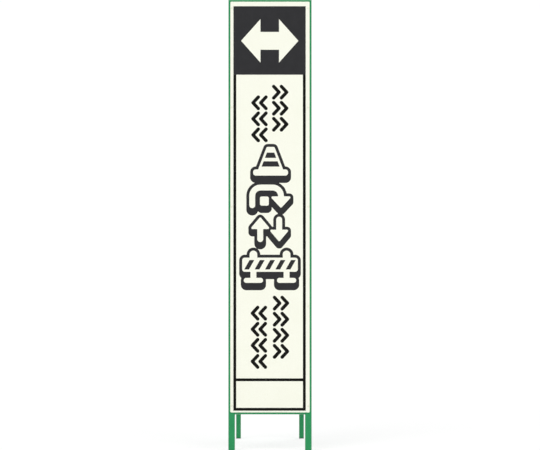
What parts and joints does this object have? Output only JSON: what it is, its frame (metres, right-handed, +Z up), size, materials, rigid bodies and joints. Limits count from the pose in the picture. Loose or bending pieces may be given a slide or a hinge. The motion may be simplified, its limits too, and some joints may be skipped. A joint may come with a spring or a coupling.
{
  "type": "standing road sign",
  "caption": "Tall slim road-work sign: a reflective steel plate riveted to a leaning square-tube frame, with a folding rear stand held open by a wire stay.",
  "frame": {"origin": "on the ground, in the middle of the footprint of the opened sign", "axes": "+Z up, +X to the right as one faces the sign, -Y the way the sign faces"},
  "size_m": [0.281, 0.4644, 1.5069],
  "materials": {
    "green_enamel": "baked green enamel on steel, semi-gloss",
    "cream_sheeting": "cream retroreflective sheeting, satin",
    "cream_aluminium": "cream paint on aluminium blind rivets",
    "zinc_plate": "bright zinc plate on steel",
    "white_nylon": "natural nylon",
    "black_polyethylene": "moulded black polyethylene, matte"
  },
  "bodies": {
    "front_frame": {"upright_left": "green_enamel", "upright_right": "green_enamel", "top_rail": "green_enamel", "upper_rail": "green_enamel", "middle_rail": "green_enamel", "bottom_rail": "green_enamel", "sign_plate": "green_enamel", "reflective_sheet": "cream_sheeting", "rivet_left_1": "cream_aluminium", "rivet_left_2": "cream_aluminium", "rivet_left_3": "cream_aluminium", "rivet_left_4": "cream_aluminium", "rivet_left_5": "cream_aluminium", "rivet_right_1": "cream_aluminium", "rivet_right_2": "cream_aluminium", "rivet_right_3": "cream_aluminium", "rivet_right_4": "cream_aluminium", "rivet_right_5": "cream_aluminium", "hinge_ear_left": "green_enamel", "hinge_ear_right": "green_enamel", "hinge_bolt_left": "zinc_plate", "hinge_bolt_right": "zinc_plate", "bolt_washer_left": "zinc_plate", "bolt_washer_right": "zinc_plate", "hinge_spacer_left": "white_nylon", "hinge_spacer_right": "white_nylon", "nut_washer_left": "zinc_plate", "nut_washer_right": "zinc_plate", "lock_nut_left": "zinc_plate", "lock_nut_right": "zinc_plate", "front_foot_cap_left": "black_polyethylene", "front_foot_cap_right": "black_polyethylene"},
    "rear_stand": {"rear_leg_left": "green_enamel", "rear_leg_right": "green_enamel", "rear_upper_crossbar": "green_enamel", "rear_lower_crossbar": "green_enamel", "stay_rung": "green_enamel", "rear_foot_cap_left": "black_polyethylene", "rear_foot_cap_right": "black_polyethylene", "rear_top_cap_left": "black_polyethylene", "rear_top_cap_right": "black_polyethylene"},
    "stay": {"stay_bail": "zinc_plate", "stay_stop_bar": "zinc_plate"}
  },
  "joints": [
    {"name": "stand_fold", "type": "hinge", "parent": "front_frame", "child": "rear_stand", "pos_m": [0, 0.00473, 1.17674], "axis": [-1, 0, 0], "range_deg": [0, 20.56]},
    {"name": "stay_fold", "type": "hinge", "parent": "front_frame", "child": "stay", "pos_m": [0, -0.16923, 0.29353], "axis": [1, 0, 0], "range_deg": [0, 80]}
  ]
}
